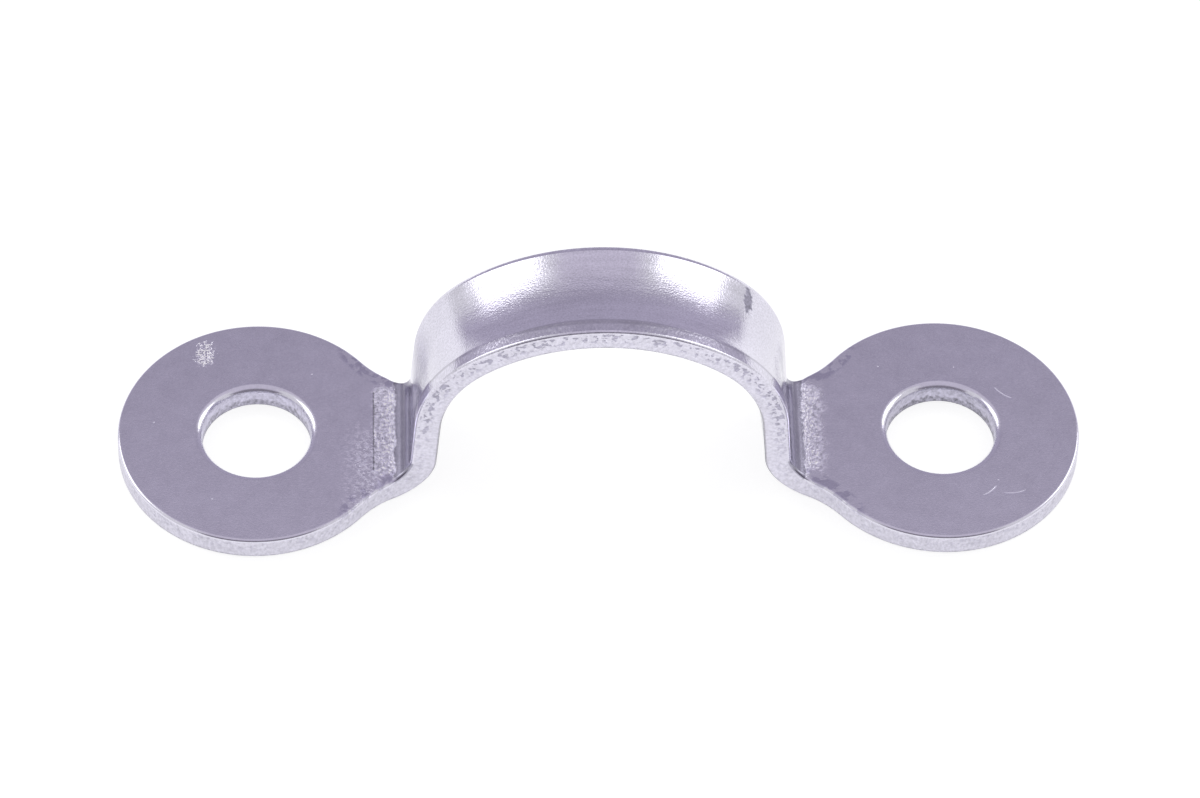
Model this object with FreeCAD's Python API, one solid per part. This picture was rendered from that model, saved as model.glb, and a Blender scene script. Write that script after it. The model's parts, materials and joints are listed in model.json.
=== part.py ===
import FreeCAD, Part
import os
from math import sin, cos, acos, radians, degrees, sqrt, pi

# Eye strap: one strip of stainless sheet, blanked, pierced, bent into a bridge and tumbled.
#
# The blank has two round ears, each with a screw hole, and a narrow band between them.
# A concave neck leads from each ear into the band. The neck still runs on as the sheet
# turns up through the foot bend, so the band is down to its full waist only at the leg.
# The bridge is a flat crown arc with two tighter shoulders, on short legs that lean out.
# Bending has curled the band across its width, so its outside is slightly hollow.
#
# Frame: X along the strap, Y across it, Z up. The origin is midway between the two
# screw holes, on the face that the ears rest on. All sizes are in millimetres.

# Sheet and flat blank
sheet = 1.25                 # thickness of the stainless sheet
hole_spacing = 33.4          # between the centres of the two screw holes
ear_diameter = 13.5          # round ear about each hole
hole_diameter = 5.3          # clears an M5 or No. 10 screw
band_width = 5.4             # waist of the blank, over the bridge
neck_radius = 5.2            # concave fillet between the ear and the band

# Bends, on the outer face of the sheet
heel = 6.4                   # from the hole's centre to the start of the foot bend
foot_bend_radius = 1.1       # inside radius of the foot bend
leg_length = 2.6             # straight leg between the foot bend and the shoulder
leg_lean = radians(4.3)      # each leg leans outwards by this angle on its way down
shoulder_radius = 6.85       # outside radius of the two tighter arcs
crown_half_angle = radians(40)     # the flatter crown arc reaches this far to each side
hollow = 0.2                 # depth of the hollow across the outside of the bridge

# Edges
ear_roll_width = 0.28        # upper edge, rolled over by the blanking die: width on the ears
bridge_roll_width = 0.65     # and along the bridge, where bending has spread it
roll_depth = 0.14            # how far that roll reaches down the sheared side
hole_roll_width = 0.35       # softer roll round the top of each pierced hole
hole_roll_depth = 0.25       # and its depth
broken_edge = 0.1            # underside edges, only deburred

# Sizes that follow from these
ear_x = hole_spacing / 2
ear_radius = ear_diameter / 2
hole_radius = hole_diameter / 2
waist = band_width / 2
foot_turn = pi / 2 - leg_lean
shoulder_turn = foot_turn - crown_half_angle
foot_length = (foot_bend_radius + sheet / 2) * foot_turn

# The neck fillet on the flat blank: where it ends, measured from the ear's centre towards
# the band, the angle at the ear's centre between the band and its start, and its centre
neck_end = sqrt((ear_radius + neck_radius) ** 2 - (waist + neck_radius) ** 2)
neck_angle = acos(neck_end / (ear_radius + neck_radius))
neck_x = ear_x - neck_end
neck_y = waist + neck_radius

# Side view, on the outer face: the centres of the bends, and the two ends of the leg
bend_x = ear_x - heel
bend_z = sheet + foot_bend_radius
leg_foot_x = bend_x - foot_bend_radius * cos(leg_lean)
leg_foot_z = bend_z - foot_bend_radius * sin(leg_lean)
leg_head_x = leg_foot_x - leg_length * sin(leg_lean)
leg_head_z = leg_foot_z + leg_length * cos(leg_lean)
shoulder_x = leg_head_x - shoulder_radius * cos(leg_lean)
shoulder_z = leg_head_z - shoulder_radius * sin(leg_lean)
crown_radius = shoulder_radius + shoulder_x / sin(crown_half_angle)
crown_z = shoulder_z - (crown_radius - shoulder_radius) * cos(crown_half_angle)

foot_section_count = 9
leg_section_count = 7
loft_degree = 4              # highest degree of the spline along a lofted stretch
joint_tolerance = 0.004      # the spline stretches meet the exact ones to within this
tool_clearance = 1.0         # cutting tools reach this far past the sheet


def vec(x, y, z):
    return FreeCAD.Vector(x, y, z)


def even(start, end, count):
    """Evenly spaced values, both ends included."""
    return [start + (end - start) * i / (count - 1) for i in range(count)]


def mirrored(shape):
    """The same shape on the other half of the strap."""
    return shape.mirror(vec(0, 0, 0), vec(1, 0, 0))


def rolled_edge(flat_end, along, side_end):
    """Rolled edge in section: an arc that leaves the flat face along it and ends at the side."""
    chord = side_end - flat_end
    bisector = (along.normalize() + (side_end - flat_end).normalize()).normalize()
    half_chord = chord.Length / 2
    middle = flat_end + bisector * (half_chord * chord.Length / bisector.dot(chord))
    return Part.Arc(flat_end, middle, side_end).toShape()


def half_width(distance, inset):
    """Half width of the flat outline, moved in by an inset, at a distance from the ear's centre."""
    if distance >= neck_end:
        return waist - inset
    if distance > (ear_radius - inset) * cos(neck_angle):
        return neck_y - sqrt((neck_radius + inset) ** 2 - (neck_end - distance) ** 2)
    return sqrt((ear_radius - inset) ** 2 - distance ** 2)


class Station:
    """A place along the bent sheet, with what its square cross-section needs."""

    def __init__(self, x, z, tilt, distance, roll_width, sag):
        self.outer = vec(x, 0, z)
        self.inward = vec(-sin(tilt), 0, -cos(tilt))
        self.side = half_width(distance, 0)
        self.flat = half_width(distance, roll_width)
        self.lower = half_width(distance, broken_edge)
        self.sag = sag

    def point(self, y, depth):
        """Point of the section, y across the strap and depth into the sheet."""
        return self.outer + self.inward * depth + vec(0, y, 0)

    def bow(self, half, depth):
        """Line across the sheet at a depth, bowed inwards by the sag at its middle."""
        curve = Part.BezierCurve()
        curve.setPoles([self.point(-half, depth), self.point(0, depth + 2 * self.sag), self.point(half, depth)])
        return curve.toShape()

    def roll(self, side):
        """Rolled upper edge. It leaves the bowed face in that face's own direction."""
        flat_end = self.point(side * self.flat, 0)
        along = flat_end - self.point(0, 2 * self.sag)
        return rolled_edge(flat_end, along, self.point(side * self.side, roll_depth))

    def sheared_side(self, side):
        """Straight side of the sheet, and the broken edge below it."""
        top = self.point(side * self.side, roll_depth)
        bottom = self.point(side * self.side, sheet - broken_edge)
        under = self.point(side * self.lower, sheet)
        return [Part.makeLine(top, bottom), Part.makeLine(bottom, under)]

    def section(self):
        """Closed outline of the sheet cut square across."""
        far = [self.roll(1)] + self.sheared_side(1)
        near = [self.roll(-1)] + self.sheared_side(-1)
        return Part.Wire([self.bow(self.flat, 0)] + far + [self.bow(self.lower, sheet)] + near[::-1])


def on_crown(angle):
    """Station on the crown arc, angle from straight up."""
    x = crown_radius * sin(angle)
    z = crown_z + crown_radius * cos(angle)
    return Station(x, z, angle, neck_end, bridge_roll_width, hollow)


def on_shoulder(angle):
    """Station on the shoulder arc, angle from straight up."""
    x = shoulder_x + shoulder_radius * sin(angle)
    z = shoulder_z + shoulder_radius * cos(angle)
    return Station(x, z, angle, neck_end, bridge_roll_width, hollow)


def on_leg(height):
    """Station on the leg, height above the foot bend. Hollow and wider roll ease in."""
    x = leg_foot_x - height * sin(leg_lean)
    z = leg_foot_z + height * cos(leg_lean)
    share = height / leg_length
    eased = share * share * (3 - 2 * share)
    roll_width = ear_roll_width + (bridge_roll_width - ear_roll_width) * eased
    return Station(x, z, foot_turn, heel + foot_length + height, roll_width, hollow * eased)


def on_foot(angle):
    """Station in the foot bend, angle turned up from the flat ear."""
    x = bend_x - foot_bend_radius * sin(angle)
    z = bend_z - foot_bend_radius * cos(angle)
    return Station(x, z, angle, heel + foot_length * angle / foot_turn, ear_roll_width, 0)


def swept(station, centre_x, centre_z, turn):
    """Stretch of the bridge: the section at a station swung about the arc's centre."""
    face = Part.Face(station.section())
    return face.revolve(vec(centre_x, 0, centre_z), vec(0, 1, 0), degrees(turn))


def lofted(stations):
    """Stretch of the sheet whose width, roll or hollow changes on the way."""
    return Part.makeLoft([station.section() for station in stations], True, False, False, loft_degree)


def arc(centre_x, centre_y, radius, start, end):
    """Arc on the underside, from one angle to another."""
    points = [vec(centre_x + radius * cos(angle), centre_y + radius * sin(angle), 0)
              for angle in even(start, end, 3)]
    return Part.Arc(*points).toShape()


def rim(centre_x, centre_y, radius, inwards, start, end):
    """Rim of the flat blank along a round outline, its section swung from angle to angle."""
    def at(inset, z):
        return vec(centre_x + radius + inwards * inset, centre_y, z)

    flat_end = at(ear_roll_width, sheet)
    roll = rolled_edge(flat_end, at(0, sheet) - flat_end, at(0, sheet - roll_depth))
    straight = Part.makePolygon([at(0, sheet - roll_depth), at(0, broken_edge), at(broken_edge, 0),
                                 at(ear_roll_width, 0), at(ear_roll_width, sheet)])
    face = Part.Face(Part.Wire([roll] + straight.Edges))
    centre = vec(centre_x, centre_y, 0)
    face.rotate(centre, vec(0, 0, 1), degrees(start))
    return face.revolve(centre, vec(0, 0, 1), degrees(end - start))


def flat_blank():
    """The round ear of the blank, its two necks and some of the band, laid flat."""
    inner_ear = ear_radius - ear_roll_width
    inner_neck = neck_radius + ear_roll_width
    inner_waist = waist - ear_roll_width
    tangent = pi - neck_angle
    far_neck = arc(neck_x, neck_y, inner_neck, -pi / 2, -neck_angle)
    near_neck = arc(neck_x, -neck_y, inner_neck, pi / 2, neck_angle)
    round_end = arc(ear_x, 0, inner_ear, tangent, -tangent)
    across = Part.makeLine(vec(neck_x, -inner_waist, 0), vec(neck_x, inner_waist, 0))
    middle = Part.Face(Part.Wire([across, far_neck, round_end, near_neck])).extrude(vec(0, 0, sheet))
    round_rim = rim(ear_x, 0, ear_radius, -1, -tangent, tangent)
    far_rim = rim(neck_x, neck_y, neck_radius, 1, -pi / 2, -neck_angle)
    near_rim = rim(neck_x, -neck_y, neck_radius, 1, neck_angle, pi / 2)
    band_start = Station(neck_x, sheet, 0, neck_end, ear_roll_width, 0)
    band = Part.Face(band_start.section()).extrude(vec(-heel, 0, 0))
    return middle.fuse([round_rim, far_rim, near_rim, band])


def ear():
    """The flat blank as far as the line where the foot bend starts."""
    corner = vec(bend_x, -ear_diameter, -tool_clearance)
    beyond_bend = Part.makeBox(heel + ear_diameter, 2 * ear_diameter, sheet + 2 * tool_clearance, corner)
    return flat_blank().common(beyond_bend).removeSplitter()


def bent_sheet():
    """The whole strap before its holes are pierced."""
    crown = swept(on_crown(-crown_half_angle), 0, crown_z, 2 * crown_half_angle)
    shoulder = swept(on_shoulder(crown_half_angle), shoulder_x, shoulder_z, shoulder_turn)
    leg = lofted([on_leg(height) for height in even(0, leg_length, leg_section_count)])
    foot = lofted([on_foot(angle) for angle in even(0, foot_turn, foot_section_count)])
    flank = shoulder.fuse([leg, foot, ear()], joint_tolerance)
    return crown.fuse([flank, mirrored(flank)]).removeSplitter()


def screw_hole():
    """Tool for one pierced hole: wall, soft roll round the top, broken edge below."""
    def at(radius, z):
        return vec(ear_x + radius, 0, z)

    roll_radius = hole_radius + hole_roll_width
    flat_end = at(roll_radius, sheet)
    roll = rolled_edge(flat_end, at(hole_radius, sheet) - flat_end, at(hole_radius, sheet - hole_roll_depth))
    below = -tool_clearance
    above = sheet + tool_clearance
    straight = Part.makePolygon([
        at(hole_radius, sheet - hole_roll_depth), at(hole_radius, broken_edge),
        at(hole_radius + broken_edge, 0), at(hole_radius + broken_edge, below),
        at(0, below), at(0, above), at(roll_radius, above), at(roll_radius, sheet),
    ])
    face = Part.Face(Part.Wire([roll] + straight.Edges))
    return face.revolve(vec(ear_x, 0, 0), vec(0, 0, 1), 360)


strap = bent_sheet().cut([screw_hole(), mirrored(screw_hole())])

os.makedirs("parts", exist_ok=True)
strap.Solids[0].exportStep("parts/eye_strap.step")
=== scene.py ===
import json
from math import sin, cos, tan, acos, atan2, radians, sqrt, pi

import bmesh
import bpy
from mathutils import Matrix, Vector


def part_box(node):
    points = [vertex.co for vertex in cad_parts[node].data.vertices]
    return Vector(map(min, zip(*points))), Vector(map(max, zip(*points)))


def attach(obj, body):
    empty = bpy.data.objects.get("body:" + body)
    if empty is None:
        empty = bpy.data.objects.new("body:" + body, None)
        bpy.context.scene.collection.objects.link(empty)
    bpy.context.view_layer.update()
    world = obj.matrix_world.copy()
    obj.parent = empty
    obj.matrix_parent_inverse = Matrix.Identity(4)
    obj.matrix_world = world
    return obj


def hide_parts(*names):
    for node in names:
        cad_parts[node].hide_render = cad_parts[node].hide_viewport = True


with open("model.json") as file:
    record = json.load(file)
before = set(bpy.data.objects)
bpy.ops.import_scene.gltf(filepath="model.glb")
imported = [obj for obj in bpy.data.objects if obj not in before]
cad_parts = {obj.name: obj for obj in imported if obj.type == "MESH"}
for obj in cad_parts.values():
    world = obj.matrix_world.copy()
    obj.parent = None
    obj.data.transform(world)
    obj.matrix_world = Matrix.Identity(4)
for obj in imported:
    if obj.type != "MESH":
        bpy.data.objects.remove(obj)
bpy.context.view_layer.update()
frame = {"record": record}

# The strap. The real one is a single strip of stainless sheet, blanked with two round ears and
# a narrow band, pierced with two screw holes, bent over a former into a flattened bridge on
# short legs, and then tumbled bright. Here it is made the same way: flat first, then bent.

mm = 0.001
sheet = 1.25 * mm
band_width = 5.4 * mm
neck_radius = 5.2 * mm          # concave, between ear and band
heel = 6.4 * mm                 # from the hole's centre to the start of the foot bend
foot_bend_radius = 1.1 * mm     # on the inside of the bend
leg_length = 2.6 * mm
leg_lean = radians(4.3)         # outwards, on the way down
shoulder_radius = 6.85 * mm     # on the outside of the sheet, as is the crown's
crown_half_angle = radians(40)
hollow = 0.2 * mm               # depth of the hollow across the bridge
edge_roll = 0.15 * mm           # how far the rolled upper edge reaches in from the side
roll_depth = 0.14 * mm          # and down the side
far_roll = 0.3 * mm             # the same reach on the far edge of the bridge
near_rim = 0.7 * mm             # width of the flat rim beside the crease
hole_roll = 0.35 * mm
hole_roll_depth = 0.25 * mm
broken_edge = 0.1 * mm          # the lower edges, only deburred
soft_corner = 0.03 * mm         # where the roll meets the sheared side

screws = next(mount for mount in frame["record"]["mounts"] if mount["name"] == "screw_pattern")
ear_x = screws["dims"]["spacing_x_mm"] * mm / 2
hole_radius = screws["dims"]["hole_r_mm"] * mm
ear_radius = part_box("eye_strap")[1][1]

half_sheet = sheet / 2
waist = band_width / 2
neck_end = sqrt((ear_radius + neck_radius) ** 2 - (waist + neck_radius) ** 2)
neck_angle = acos(neck_end / (ear_radius + neck_radius))
neck_y = waist + neck_radius

# Side view of the bent strap, along the middle of the sheet's thickness
foot_turn = pi / 2 - leg_lean
shoulder_turn = foot_turn - crown_half_angle
bend_x = ear_x - heel
bend_z = sheet + foot_bend_radius
leg_foot = Vector((bend_x - foot_bend_radius * cos(leg_lean), 0, bend_z - foot_bend_radius * sin(leg_lean)))
leg_head = leg_foot + leg_length * Vector((-sin(leg_lean), 0, cos(leg_lean)))
shoulder = leg_head - shoulder_radius * Vector((cos(leg_lean), 0, sin(leg_lean)))
crown_radius = shoulder_radius + shoulder.x / sin(crown_half_angle)
crown_z = shoulder.z - (crown_radius - shoulder_radius) * cos(crown_half_angle)
crown_length = (crown_radius - half_sheet) * crown_half_angle
shoulder_length = (shoulder_radius - half_sheet) * shoulder_turn
foot_length = (foot_bend_radius + half_sheet) * foot_turn
ear_u = crown_length + shoulder_length + leg_length + foot_length + heel
neck_u = ear_u - neck_end
half_length = ear_u + ear_radius

near = 0.002 * mm               # corners closer than this count as one


def pick(wanted):
    """In edit mode, selects the corners whose place is wanted, and only those."""
    bpy.ops.mesh.select_all(action="DESELECT")
    shape = bmesh.from_edit_mesh(bpy.context.object.data)
    for corner in shape.verts:
        corner.select = wanted(corner.co)
    shape.select_flush(True)
    bmesh.update_edit_mesh(bpy.context.object.data)


def extrude(x, y, z, steps):
    """Extrudes what is selected by x, y, z in even steps."""
    for _ in range(steps):
        bpy.ops.mesh.extrude_region_move(TRANSFORM_OT_translate={"value": (x / steps, y / steps, z / steps)})


def roll_over(x, z, width, depth, side):
    """Section of a rolled edge from a corner at x, z: a swing down, then a soft corner.

    The edge faces +x where side is 1, and -x where it is -1.
    """
    radius = (width ** 2 + depth ** 2) / (2 * depth)
    turn = 2 * atan2(depth, width) * (1 - 1 / roll_steps)
    bpy.ops.mesh.primitive_circle_add(vertices=3, radius=mm, location=(x, 0, z))
    bpy.ops.mesh.merge(type="CENTER")
    bpy.ops.mesh.spin(steps=roll_steps - 1, angle=-side * turn, center=(x, 0, z - radius), axis=(0, 1, 0))
    extrude(side * (width - radius * sin(turn)), 0, radius * (1 - cos(turn)) - depth - soft_corner, 1)


# How many rows of faces each stretch gets: through the edge, round the outline, over the band
roll_steps = 8
side_steps = 7
ear_steps = 60
throat_steps = 14
bend_steps = 36
leg_steps = 16
bridge_steps = 26
across_steps = 12
face_steps = 5

bpy.ops.object.select_all(action="DESELECT")
bpy.ops.mesh.primitive_circle_add(vertices=3, radius=mm)
strap = bpy.context.object
strap.name = "stainless_strap"
strap.data.name = "stainless_strap"
bpy.ops.object.mode_set(mode="EDIT")
bpy.ops.mesh.select_all(action="SELECT")
bpy.ops.mesh.delete(type="VERT")

# Section of the outer edge at the tip of the ear: roll, sheared side, broken lower edge
roll_over(half_length - edge_roll, half_sheet, edge_roll, roll_depth, 1)
extrude(0, 0, roll_depth + soft_corner + broken_edge - sheet, side_steps)
extrude(-broken_edge, 0, -broken_edge, 1)

# It is swung round the ear and back round the neck, then drawn along the band to the middle
tangent = pi - neck_angle
bend_angle = acos(sqrt(1 - ((neck_end - heel) / neck_radius) ** 2))
throat_angle = pi / 2 - neck_angle - bend_angle
bpy.ops.mesh.select_all(action="SELECT")
bpy.ops.mesh.spin(steps=ear_steps, angle=-tangent, center=(ear_u, 0, 0), axis=(0, 0, 1))
bpy.ops.mesh.spin(steps=throat_steps, angle=throat_angle, center=(neck_u, neck_y, 0), axis=(0, 0, 1))
bpy.ops.mesh.spin(steps=bend_steps, angle=bend_angle, center=(neck_u, neck_y, 0), axis=(0, 0, 1))
extrude(neck_end - heel - foot_length, 0, 0, 1)
extrude(-leg_length, 0, 0, leg_steps)
extrude(-shoulder_length, 0, 0, bridge_steps)
extrude(-crown_length, 0, 0, bridge_steps)

# The hole's edge is swung half a turn in the same way, in as many steps as the outline has
# corners, so that the flat faces between them can be bridged
pick(lambda place: False)
wall = ear_u + hole_radius
roll_over(wall + hole_roll, half_sheet, hole_roll, hole_roll_depth, -1)
extrude(0, 0, hole_roll_depth + soft_corner + broken_edge - sheet, side_steps)
extrude(broken_edge, 0, -broken_edge, 1)
pick(lambda place: place.y < near and abs(place.x - wall) < hole_roll + near)
hole_steps = ear_steps + throat_steps + across_steps
bpy.ops.mesh.spin(steps=hole_steps, angle=-pi, center=(ear_u, 0, 0), axis=(0, 0, 1))


def flat_face(z, inset, rim):
    """Closes the top or bottom face between the outline's edge, the hole's rim and the middle line."""
    row = ear_u - neck_end + (neck_radius + inset) * sin(bend_angle)
    edge_y = neck_y - (neck_radius + inset) * cos(bend_angle)

    def on_outline(place):
        from_ear = Vector((place.x - ear_u, place.y)).length
        from_neck = Vector((place.x - neck_u, place.y - neck_y)).length
        if place.x > ear_u - (ear_radius - inset) * cos(neck_angle) - near:
            return abs(from_ear - ear_radius + inset) < near
        if place.x > neck_u:
            return abs(from_neck - neck_radius - inset) < near
        return abs(place.y - waist + inset) < near

    pick(lambda place: abs(place.z - z) < near and on_outline(place) and place.x < row + near)
    for left in range(across_steps - 1, -1, -1):
        bpy.ops.mesh.extrude_region_move()
        bpy.ops.transform.resize(value=(1, left / (left + 1), 1), center_override=(0, 0, 0))
    pick(lambda place: abs(place.z - z) < near and (
        (on_outline(place) and place.x > row - near)
        or (abs(place.x - row) < near and place.y < edge_y + near)
        or abs(Vector((place.x - ear_u, place.y)).length - hole_radius - rim) < near))
    bpy.ops.mesh.bridge_edge_loops(number_cuts=face_steps, interpolation="LINEAR", smoothness=0)


flat_face(half_sheet, edge_roll, hole_roll)
flat_face(-half_sheet, broken_edge, broken_edge)

# The other three quarters
bpy.ops.object.mode_set(mode="OBJECT")
mirror = strap.modifiers.new("other_quarters", "MIRROR")
mirror.use_axis = (True, True, False)
mirror.merge_threshold = near
bpy.ops.object.modifier_apply(modifier=mirror.name)
bpy.ops.object.mode_set(mode="EDIT")
bpy.ops.mesh.select_all(action="SELECT")
bpy.ops.mesh.remove_doubles(threshold=near)
bpy.ops.mesh.normals_make_consistent(inside=False)
bpy.ops.object.mode_set(mode="OBJECT")

# The place of every corner on the flat blank, in millimetres, is kept for the grain of the steel
blank = strap.data.attributes.new("blank", "FLOAT_VECTOR", "POINT")
for corner, kept in zip(strap.data.vertices, blank.data):
    kept.vector = corner.co / mm

# Over the bridge the sheet is pressed slightly hollow. The hollow ends in a wider roll along the
# far edge, and in a crease with a flat rim beside it along the near edge. All come in on the legs.
leg_end = ear_u - heel - foot_length
roll_start = waist - edge_roll
last_row = roll_start * (across_steps - 1) / across_steps


def mix(before, after, share):
    """The value that lies a share of the way from before to after."""
    return before + (after - before) * share


for corner in strap.data.vertices:
    place = corner.co
    on_leg = min(max((leg_end - abs(place.x)) / leg_length, 0), 1)
    share = on_leg ** 2 * (3 - 2 * on_leg)
    if share == 0:
        continue
    side = 1 if place.y > 0 else -1
    reach = abs(place.y)
    roll_width = mix(edge_roll, far_roll, share) if side > 0 else edge_roll
    if place.z < half_sheet - roll_depth - near:
        hollow_end = waist - broken_edge
    else:
        hollow_end = mix(last_row, waist - (far_roll if side > 0 else near_rim), share)
        if reach > roll_start:
            reach = waist - (waist - reach) * roll_width / edge_roll
        elif reach > last_row:
            reach = mix(hollow_end, waist - roll_width, (reach - last_row) / (roll_start - last_row))
        else:
            reach *= hollow_end / last_row
        place.y = side * reach
    if reach < hollow_end:
        place.z -= hollow * share * (1 - (reach / hollow_end) ** 2)

# The former: the side view of the bent sheet, a little longer than the strap at both ends. The
# blank is laid along it.
spare = 1 * mm


def arc_handle(radius, turn):
    """Length of a curve's handle where it follows an arc."""
    return 4 / 3 * tan(turn / 4) * radius


crown_handle = arc_handle(crown_radius - half_sheet, crown_half_angle)
shoulder_handle = arc_handle(shoulder_radius - half_sheet, shoulder_turn)
foot_handle = arc_handle(foot_bend_radius + half_sheet, foot_turn)
run_out = heel + ear_radius + spare
leg_face = half_sheet * Vector((cos(leg_lean), 0, sin(leg_lean)))
shoulder_top = (shoulder_radius - half_sheet) * Vector((sin(crown_half_angle), 0, cos(crown_half_angle)))

# Each stop: its place, how far the line points down there, and the handles before and after it
stops = [
    (shoulder + shoulder_top, crown_half_angle, crown_handle, shoulder_handle),
    (leg_head - leg_face, foot_turn, shoulder_handle, leg_length / 3),
    (leg_foot - leg_face, foot_turn, leg_length / 3, foot_handle),
    (Vector((bend_x, 0, half_sheet)), 0, foot_handle, run_out / 3),
    (Vector((bend_x + run_out, 0, half_sheet)), 0, run_out / 3, run_out / 3),
]
crown = (Vector((0, 0, crown_z + crown_radius - half_sheet)), 0, crown_handle, crown_handle)
mirrored = [
    (Vector((-place.x, 0, place.z)), -turn, after, before)
    for place, turn, before, after in reversed(stops)]
line = mirrored + [crown] + stops
former_line = bpy.data.curves.new("former", "CURVE")
former_line.dimensions = "3D"
former_line.resolution_u = 256
former_spline = former_line.splines.new("BEZIER")
former_spline.bezier_points.add(len(line) - 1)
for point, (place, turn, before, after) in zip(former_spline.bezier_points, line):
    along = Vector((cos(turn), 0, -sin(turn)))
    point.co = place
    point.handle_left = place - along * before
    point.handle_right = place + along * after
former = bpy.data.objects.new("former", former_line)
bpy.context.collection.objects.link(former)

bpy.ops.object.select_all(action="DESELECT")
strap.select_set(True)
bpy.context.view_layer.objects.active = strap
for corner in strap.data.vertices:
    corner.co.x += half_length + spare
bend = strap.modifiers.new("bend", "CURVE")
bend.object = former
bpy.ops.object.modifier_apply(modifier=bend.name)
bpy.data.objects.remove(former)

# Its shading follows the large faces. They are weighed in millimetres, since in metres the
# modifier takes all of them for nothing.
bpy.ops.object.shade_smooth()
for corner in strap.data.vertices:
    corner.co /= mm
weigh = strap.modifiers.new("weigh", "WEIGHTED_NORMAL")
weigh.weight = 100
bpy.ops.object.modifier_apply(modifier=weigh.name)
for corner in strap.data.vertices:
    corner.co *= mm

# Its steel: tumbled bright, with a slightly lilac cast. Patterns follow the flat blank, in
# millimetres: run is along it from the middle, across is over it, level is through the sheet.
steel = bpy.data.materials.new("tumbled_stainless")
steel.use_nodes = True
tree = steel.node_tree
shader = tree.nodes["Principled BSDF"]


def feed(socket, value):
    """Sets a socket to a number, or links the output that feeds it."""
    if isinstance(value, bpy.types.NodeSocket):
        tree.links.new(value, socket)
    else:
        socket.default_value = value


def calc(operation, *values):
    """A Math node on one to three values or outputs. Gives its output."""
    node = tree.nodes.new("ShaderNodeMath")
    node.operation = operation
    for socket, value in zip(node.inputs, values):
        feed(socket, value)
    return node.outputs[0]


def chain(operation, values):
    """The same Math operation from the first of the values to the last."""
    result = values[0]
    for value in values[1:]:
        result = calc(operation, result, value)
    return result


def product(*values):
    """All the values multiplied together."""
    return chain("MULTIPLY", values)


def total(*values):
    """All the values added together."""
    return chain("ADD", values)


def largest(*values):
    """The largest of the values."""
    return chain("MAXIMUM", values)


def ramp(value, low, high, out_low=0.0, out_high=1.0):
    """Smooth step of a value from low to high, given as out_low to out_high."""
    node = tree.nodes.new("ShaderNodeMapRange")
    node.interpolation_type = "SMOOTHSTEP"
    for name, number in {
            "Value": value, "From Min": low, "From Max": high, "To Min": out_low, "To Max": out_high}.items():
        feed(node.inputs[name], number)
    return node.outputs["Result"]


def band(value, middle, half_width, fade):
    """1 where a value is within half_width of the middle, and 0 a fade further out."""
    off = calc("ABSOLUTE", calc("SUBTRACT", value, middle))
    return ramp(off, half_width, half_width + fade, 1.0, 0.0)


def scaled(x, y, z):
    """The place on the blank, stretched."""
    node = tree.nodes.new("ShaderNodeVectorMath")
    node.operation = "MULTIPLY"
    feed(node.inputs[0], on_blank)
    node.inputs[1].default_value = (x, y, z)
    return node.outputs[0]


def noise(place, scale, detail=2.0, distortion=0.0):
    """Fine random relief, from 0 to 1, with its scale per millimetre."""
    node = tree.nodes.new("ShaderNodeTexNoise")
    feed(node.inputs["Vector"], place)
    node.inputs["Scale"].default_value = scale
    node.inputs["Detail"].default_value = detail
    node.inputs["Distortion"].default_value = distortion
    return node.outputs["Fac"]


def rough_by(value, amount):
    """How far a random value is from its middle, times an amount."""
    return product(calc("SUBTRACT", value, 0.5), amount)


def far_from(x, y, wide=1.0, tall=1.0, place=None):
    """Distance on the blank from a point at x, y, with wide and tall counted as 1."""
    along_it = product(calc("SUBTRACT", place or whole_run, x), 1 / wide)
    across_it = product(calc("SUBTRACT", across, y), 1 / tall)
    return calc("SQRT", total(product(along_it, along_it), product(across_it, across_it)))


def spot(x, y, wide, tall, fray=0.0):
    """An oval spot on the blank, with a soft or frayed edge."""
    return ramp(total(far_from(x, y, wide, tall), rough_by(speckle, fray)), 1.15, 0.8)


def scratch(x, y, radius, middle_x, middle_y, reach):
    """A thin curved scratch: what a spot keeps of a ring about x, y."""
    return product(band(far_from(x, y), radius, 0.015, 0.03), spot(middle_x, middle_y, reach, reach))


attribute = tree.nodes.new("ShaderNodeAttribute")
attribute.attribute_name = "blank"
on_blank = attribute.outputs["Vector"]
parts = tree.nodes.new("ShaderNodeSeparateXYZ")
feed(parts.inputs[0], on_blank)
whole_run, across, level = parts.outputs
run = calc("ABSOLUTE", whole_run)
off_middle = calc("ABSOLUTE", across)
on_left = calc("LESS_THAN", whole_run, 0.0)
from_hole = far_from(ear_u / mm, 0.0, place=run)
beside_neck = calc("SUBTRACT", calc("SQRT", total(
    calc("POWER", calc("SUBTRACT", run, neck_u / mm), 2.0),
    calc("POWER", calc("SUBTRACT", off_middle, neck_y / mm), 2.0))), neck_radius / mm)

# Where the face, the sheared sides, the bridge, the legs and the wall of the hole are. The crown
# ends at a run of 6.7, the shoulder at 11.7, the leg at 14.3 and the foot bend at 16.9.
top = half_sheet / mm
roll_foot = top - roll_depth / mm
bottom_edge = broken_edge / mm - top
bridge_end = leg_end / mm
bridge_start = bridge_end - leg_length / mm
hole_edge = hole_radius / mm
on_face = ramp(level, roll_foot - soft_corner / mm - 0.03, roll_foot + 0.02)
on_side = product(calc("SUBTRACT", 1.0, on_face), ramp(level, bottom_edge - 0.06, bottom_edge + 0.02))
# Painted shade along the lowest edge of the sheared sides, from the legs outwards
under_edge_shade = product(ramp(level, bottom_edge + 0.02, bottom_edge - 0.04), ramp(run, 9.5, 11.0))
on_bridge = product(ramp(run, bridge_start, bridge_end + 0.6, 1.0, 0.0), on_face)
on_crown = ramp(run, 8.0, 6.0)
on_legs = product(ramp(run, 6.0, 9.0), ramp(run, 14.0, 13.0), on_face)
in_hole = product(ramp(from_hole, hole_edge + 0.12, hole_edge + 0.02), on_side)

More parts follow.
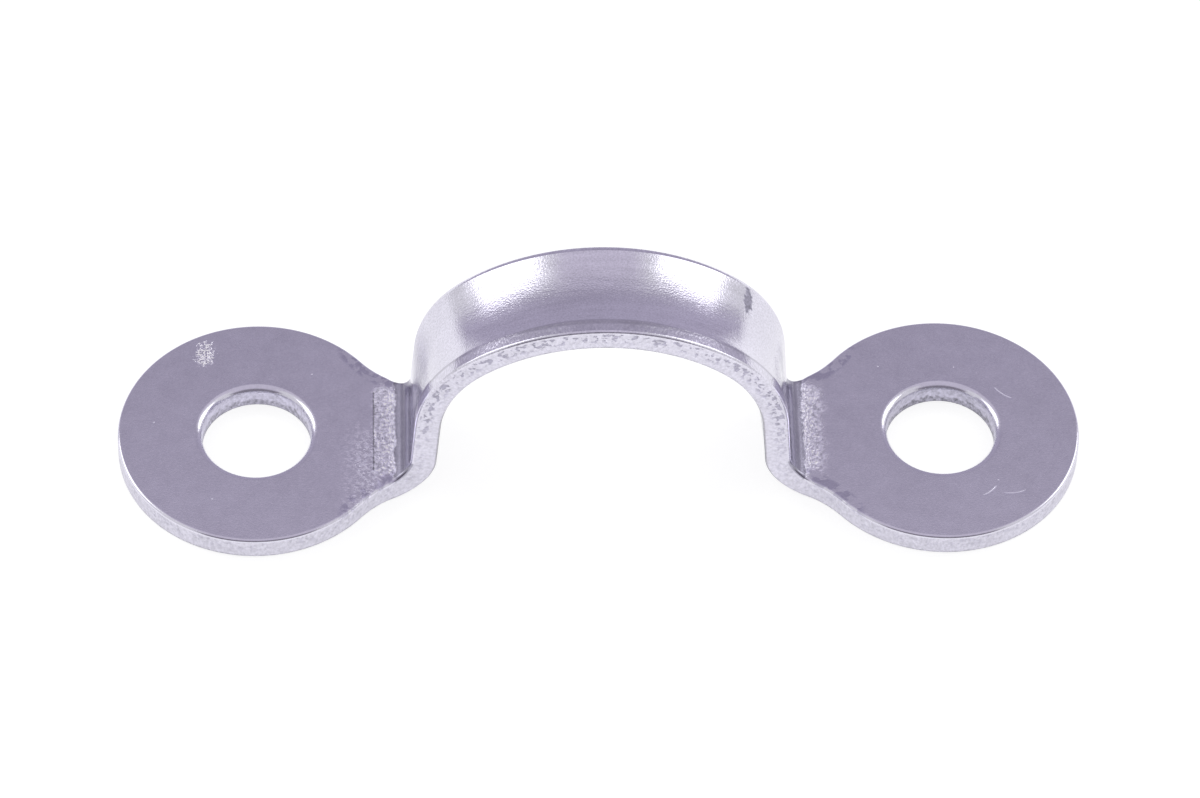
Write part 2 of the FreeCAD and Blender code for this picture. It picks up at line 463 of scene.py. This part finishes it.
# Random relief, from clouds of millimetres down to grit, with streaks that follow the rolling
# of the sheet and coarse grain for the sheared sides
coarse = noise(on_blank, 0.35, 3.0)
cloud = noise(on_blank, 1.3, 3.0)
fray = noise(on_blank, 2.4, 3.0)
patches = noise(on_blank, 1.9, 3.0)
speckle = noise(on_blank, 5.0, 2.0)
grit = noise(on_blank, 11.0, 1.0)
knobs = noise(on_blank, 6.5, 3.0, 0.4)
streaks = noise(scaled(0.25, 3.0, 1.0), 1.0, 4.0)
drag = noise(scaled(0.4, 4.5, 1.0), 1.0, 2.0)
shear = noise(scaled(7.0, 7.0, 5.0), 1.0, 3.0)
pit_field = noise(scaled(3.4, 3.4, 4.0), 1.0, 2.0, 0.4)

# Beside the line where the foot bend starts the steel is left rough, and over the bend its colour is
# painted dark, a painted reflection of dark surroundings. On the left the holding-down tool has printed
# a line and speckled the ear beyond.
bend_start = (ear_u - heel) / mm
tool_line = bend_start + 0.7
frayed = total(run, rough_by(fray, 0.7))
to_line = product(on_left, ramp(run, tool_line + 0.02, tool_line - 0.02))
to_fade = ramp(frayed, bend_start + 0.9, bend_start + 0.2)
to_edge = ramp(total(off_middle, rough_by(cloud, 1.6)), 3.0, 2.3)
rough_strip = product(ramp(frayed, bend_start - 0.7, bend_start - 0.45), largest(to_line, to_fade), to_edge)
speckled = product(
    on_left,
    ramp(run, bend_start, tool_line),
    ramp(frayed, bend_start + 2.5, bend_start + 0.7),
    ramp(total(across, rough_by(cloud, 3.0)), 0.6, -1.2),
    ramp(speckle, 0.42, 0.56),
    0.8,
)
rough = product(largest(rough_strip, speckled), on_face)
painted_dark_bend = product(band(frayed, bend_start - 1.45, 0.8, 0.2), on_face)
rubbed = product(
    band(beside_neck, 0.32, 0.25, 0.2),
    band(run, bend_start + 0.9, 1.2, 0.5),
    ramp(patches, 0.47, 0.54),
    on_face,
)
printed = product(
    on_left,
    band(run, tool_line, 0.025, 0.03),
    ramp(total(off_middle, rough_by(speckle, 1.0)), 2.6, 2.3),
    on_face,
)

# Painted dark reflections: a faint one on each leg; and a smudge on the right
# shoulder. Each has its place by run and across, and then its half length and half width.
left_leg_dark_reflection = ramp(far_from(-11.4, 0.6, 2.2, 2.2), 1.1, 0.2, 0.0, 0.42)
right_leg_dark_reflection = ramp(far_from(11.2, 0.9, 1.3, 0.9), 1.1, 0.2, 0.0, 0.25)
painted_leg_reflections = product(largest(left_leg_dark_reflection, right_leg_dark_reflection), ramp(drag, 0.4, 0.6, 0.8, 1.0))
smudge = product(spot(7.36, 1.62, 0.27, 0.68, 1.6), 0.75)
smudge_and_leg_reflections = product(largest(painted_leg_reflections, smudge), on_face)

# Small bright marks: a scuff on the left ear, three scratches on the right one, and specks. Each
# scratch is a piece of a ring: the ring's middle and radius, then the piece's middle and reach.
scuff = product(spot(-25.85, 4.9, 0.42, 0.7, 2.5), ramp(grit, 0.42, 0.58), on_face)
scratches = largest(
    scratch(24.6, -2.9, 1.35, 25.6, -4.1, 0.5),
    scratch(26.4, -2.4, 1.65, 26.65, -4.0, 0.5),
    scratch(27.6, 3.6, 1.9, 26.4, 2.15, 0.5),
)
speck_field = tree.nodes.new("ShaderNodeTexVoronoi")
feed(speck_field.inputs["Vector"], scaled(1.0, 1.0, 0.0))
speck_field.inputs["Scale"].default_value = 0.7
specks = product(ramp(speck_field.outputs["Distance"], 0.035, 0.02), on_face)
bright_marks = largest(scuff, product(largest(scratches, specks), 0.45))

# Pits along the sheared sides, the torn lower half of the hole's wall, which is also painted darker as shade
# low in the hole, and grainy painted shade in the crease
pits = product(
    on_side,
    ramp(pit_field, 0.52, 0.6),
    ramp(level, -0.3, 0.1, 0.1, 1.0),
    ramp(run, 10.5, 14.0, 1.0, 0.3),
)
torn_level = total(level, rough_by(cloud, 0.5), rough_by(speckle, 0.4))
torn_and_shaded = product(in_hole, ramp(torn_level, -0.02, -0.2))
crease_width = ramp(run, 1.5, 4.5, 0.09, 0.015)
crease_middle = product(crease_width, -0.8)
from_crease = calc("ABSOLUTE", total(across, last_row / mm, crease_middle))
crease_shade = product(ramp(calc("SUBTRACT", from_crease, crease_width), 0.07, 0.0), on_bridge)

# How much lighter or darker than the plain steel each of these is
# The rough strip is painted lighter towards the bend: a painted sheen
strip_sheen_tone = ramp(run, bend_start + 0.9, bend_start, -0.06, 0.12)
knob_tone = total(rough_by(knobs, 1.2), rough_by(ramp(speckle, 0.38, 0.62), 0.4))
tone = total(
    1.0,
    rough_by(coarse, 0.12),
    rough_by(cloud, 0.09),
    rough_by(speckle, 0.12),
    rough_by(grit, 0.12),
    product(total(product(rough_by(streaks, 0.3), on_crown), rough_by(grit, 0.35)), on_bridge),
    product(on_legs, -0.09),
    product(rough_by(shear, 0.6), on_side),
    product(pits, -0.36),
    # Painted shade, grainy, in the crease
    product(crease_shade, total(0.05, product(grit, -0.55))),
    # Painted shade on the wall of the hole, more in the right hole
    product(in_hole, total(-0.14, product(on_left, 0.09))),
    # The torn lower wall, darker also as painted shade
    product(torn_and_shaded, total(-0.28, rough_by(shear, 0.5))),
    product(on_side, ramp(run, 14.0, 18.0, -0.03, -0.1)),
    # Painted shade along the lowest edge of the sides
    product(under_edge_shade, -0.4),
    # Painted dark reflection over the foot bend
    product(painted_dark_bend, -0.5),
    product(rubbed, -0.22),
    product(printed, -0.45),
    # The smudge, and the painted dark reflections on the legs
    product(smudge_and_leg_reflections, total(-0.62, rough_by(speckle, 0.4))),
    # The rough strip, with its painted sheen towards the bend
    product(rough, total(strip_sheen_tone, knob_tone)),
    product(bright_marks, 0.4),
)

# Where it is rubbed, pitted or smudged, over the painted dark reflections on the legs and the bend, and over
# the painted shade on the hole's wall, its cast is a little more lilac
tint = tree.nodes.new("ShaderNodeMix")
tint.data_type = "RGBA"
rubbed_and_dark_bend = product(largest(rubbed, painted_dark_bend), 0.4)
feed(tint.inputs["Factor"], largest(smudge_and_leg_reflections, rubbed_and_dark_bend, product(pits, 0.5), product(in_hole, 0.4)))
base, worn = [socket for socket in tint.inputs if socket.type == "RGBA"]
base.default_value = (0.735, 0.715, 0.82, 1)
worn.default_value = (0.72, 0.68, 0.92, 1)
colour = tree.nodes.new("ShaderNodeVectorMath")
colour.operation = "SCALE"
feed(colour.inputs[0], next(socket for socket in tint.outputs if socket.type == "RGBA"))
feed(colour.inputs["Scale"], tone)
feed(shader.inputs["Base Color"], colour.outputs[0])
# Less metallic in the smudge and in the painted dark reflections on the legs
feed(shader.inputs["Metallic"], total(1.0, product(smudge_and_leg_reflections, -0.85)))

# Roughness: the tumbled face is bright, and what is sheared, scraped or smudged, and the painted dark
# reflections on the legs, is duller
polish = total(
    0.16,
    rough_by(cloud, 0.06),
    product(rough, 0.3),
    product(on_side, 0.22),
    product(painted_dark_bend, 0.05),
    product(smudge_and_leg_reflections, 0.3),
    product(bright_marks, 0.45),
)
feed(shader.inputs["Roughness"], polish)

# Relief in millimetres
relief = total(
    product(rough_by(grit, 1.0), total(0.002, product(on_bridge, 0.005), product(rough, 0.01))),
    product(rough_by(knobs, 0.07), rough),
    product(rough_by(streaks, 0.006), on_bridge, on_crown),
    product(rough_by(shear, 0.03), on_side),
    product(pits, -0.02),
    product(printed, -0.006),
    product(bright_marks, -0.02),
)
bump = tree.nodes.new("ShaderNodeBump")
bump.inputs["Distance"].default_value = mm
feed(bump.inputs["Height"], relief)
feed(shader.inputs["Normal"], bump.outputs[0])
strap.data.materials.append(steel)
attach(strap, "root")
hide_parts("eye_strap")

# The table: a plain sheet of white paper, far larger than the picture. The camera and the steel
# see it as white, and it keeps the strap's shadow.
bpy.ops.object.select_all(action="DESELECT")
bpy.ops.mesh.primitive_plane_add(size=6)
table = bpy.context.object
table.name = "table"


def empty_nodes(owner):
    """Turns on the nodes of a material or world, and clears them."""
    owner.use_nodes = True
    owner.node_tree.nodes.clear()
    return owner.node_tree


def seen_direct():
    """1 for rays from the camera, and for those that metal or glass sends on; 0 for the rest."""
    path = tree.nodes.new("ShaderNodeLightPath").outputs
    return largest(path["Is Camera Ray"], path["Is Glossy Ray"], path["Is Transmission Ray"])


def glow(strength, colour=(1, 1, 1, 1)):
    """Light given off by a surface."""
    node = tree.nodes.new("ShaderNodeEmission")
    node.inputs["Color"].default_value = colour
    feed(node.inputs["Strength"], strength)
    return node.outputs[0]


paper = bpy.data.materials.new("white_paper")
tree = empty_nodes(paper)
matt = tree.nodes.new("ShaderNodeBsdfDiffuse")
matt.inputs["Color"].default_value = (0.4, 0.4, 0.4, 1)
both = tree.nodes.new("ShaderNodeAddShader")
feed(both.inputs[0], matt.outputs[0])
feed(both.inputs[1], glow(calc("MULTIPLY", seen_direct(), 0.77)))
end = tree.nodes.new("ShaderNodeOutputMaterial")
feed(end.inputs["Surface"], both.outputs[0])
table.data.materials.append(paper)

# The room: a plain white surround, as the camera and the steel see it. It lights the table a
# little less than that.
room = bpy.data.worlds.new("room")
bpy.context.scene.world = room
tree = empty_nodes(room)
surround = tree.nodes.new("ShaderNodeBackground")
feed(surround.inputs["Strength"], ramp(seen_direct(), 0.0, 1.0, 0.8, 1.0))
end = tree.nodes.new("ShaderNodeOutputWorld")
feed(end.inputs["Surface"], surround.outputs[0])

# Two pieces of grey card that only the steel mirrors: a round one that stands behind the
# table, and a strip that arches from it over the table and down towards the camera
card_away = 0.6
card_radius = 0.85
strip_radius = 0.8
strip_length = 1.6
strip_foot = 0.05
strip_back = 0.475


def grey_card(piece, card, strength, colour, cover):
    """Gives a card its grey glow. It is clear where cover is 0, and only reflections see it."""
    half_clear = tree.nodes.new("ShaderNodeMixShader")
    feed(half_clear.inputs[0], cover)
    feed(half_clear.inputs[1], tree.nodes.new("ShaderNodeBsdfTransparent").outputs[0])
    feed(half_clear.inputs[2], glow(strength, colour))
    end = tree.nodes.new("ShaderNodeOutputMaterial")
    feed(end.inputs["Surface"], half_clear.outputs[0])
    piece.data.materials.append(card)
    piece.visible_camera = False
    piece.visible_diffuse = False
    piece.visible_shadow = False


def card_place():
    """Place on a card, as three outputs, in metres."""
    axes = tree.nodes.new("ShaderNodeSeparateXYZ")
    feed(axes.inputs[0], tree.nodes.new("ShaderNodeTexCoord").outputs["Object"])
    return axes.outputs


bpy.ops.mesh.primitive_circle_add(
    vertices=96, radius=card_radius, fill_type="NGON", location=(0, card_away, 0), rotation=(pi / 2, 0, 0))
round_card = bpy.context.object
round_card.name = "round_card"
bpy.ops.object.transform_apply(location=True, rotation=True, scale=True)
round_grey = bpy.data.materials.new("round_card")
tree = empty_nodes(round_grey)
x, y, z = card_place()
out = calc("SQRT", total(calc("POWER", x, 2.0), calc("POWER", z, 2.0)))
brightness = ramp(z, 0.3, 0.75, 0.43, 0.363)
soft_rim = ramp(out, card_radius, card_radius - 0.04)
grey_card(round_card, round_grey, brightness, (1.05, 0.98, 1.2, 1), soft_rim)

bpy.ops.mesh.primitive_cylinder_add(
    vertices=160, radius=strip_radius, depth=strip_length, end_fill_type="NOTHING",
    location=(0, 0, 0), rotation=(0, pi / 2, 0))
overhead = bpy.context.object
overhead.name = "overhead_strip"
bpy.ops.object.transform_apply(location=True, rotation=True, scale=True)
bpy.ops.object.mode_set(mode="EDIT")
pick(lambda place: place.z < strip_foot or place.y > strip_back)
bpy.ops.mesh.delete(type="VERT")
bpy.ops.object.mode_set(mode="OBJECT")
strip_grey = bpy.data.materials.new("overhead_strip")
tree = empty_nodes(strip_grey)
x, y, z = card_place()
half_width = ramp(y, -0.1, -0.6, 0.29, 0.6)
aside = calc("DIVIDE", calc("ABSOLUTE", x), half_width)
brightness = ramp(y, -0.35, -0.62, 0.61, 0.24)
grey_card(overhead, strip_grey, brightness, (1.045, 0.99, 1.12, 1), ramp(aside, 1.12, 0.88))

# Two softboxes, one on each side of the table, a little behind the strap and turned towards it.
# Their size and place set the highlights on the shoulders of the bridge.
softbox_width = 0.42
softbox_height = 0.4
softbox_radiance = 1.3
for side, name in ((-1, "softbox_left"), (1, "softbox_right")):
    stand = Vector((side * 0.51, 0.215, 0.42))
    bpy.ops.object.light_add(type="AREA", location=stand, rotation=stand.to_track_quat("Z", "Y").to_euler())
    softbox = bpy.context.object
    softbox.name = name
    softbox.data.shape = "RECTANGLE"
    softbox.data.size = softbox_width
    softbox.data.size_y = softbox_height
    softbox.data.energy = softbox_radiance * pi * softbox_width * softbox_height
    softbox.visible_camera = False

# The camera of the photograph: high in front of the strap and a long way off for its size, with
# a slight turn and tilt. It aims near the middle of the strap, at about a third of its height.
elevation = radians(50.99)
azimuth = radians(-2.79)
roll = radians(1.879)
distance = 0.32
aim_height = 4 * mm
aim_down = 0.217 * mm
aim_left = 0.022 * mm
back = Vector((sin(azimuth) * cos(elevation), -cos(azimuth) * cos(elevation), sin(elevation)))
flat_right = Vector((cos(azimuth), sin(azimuth), 0))
flat_up = back.cross(flat_right)
right = flat_right * cos(roll) + flat_up * sin(roll)
up = flat_up * cos(roll) - flat_right * sin(roll)
aim = Vector((0, 0, aim_height)) - aim_down * up - aim_left * right
bpy.ops.object.camera_add()
camera = bpy.context.object
camera.name = "camera"
camera.data.sensor_width = 36
camera.data.lens = 198.2
axes = Matrix((right, up, back)).transposed().to_4x4()
camera.matrix_world = Matrix.Translation(aim + back * distance) @ axes
bpy.context.scene.camera = camera

bpy.context.scene.view_settings.view_transform = "Standard"
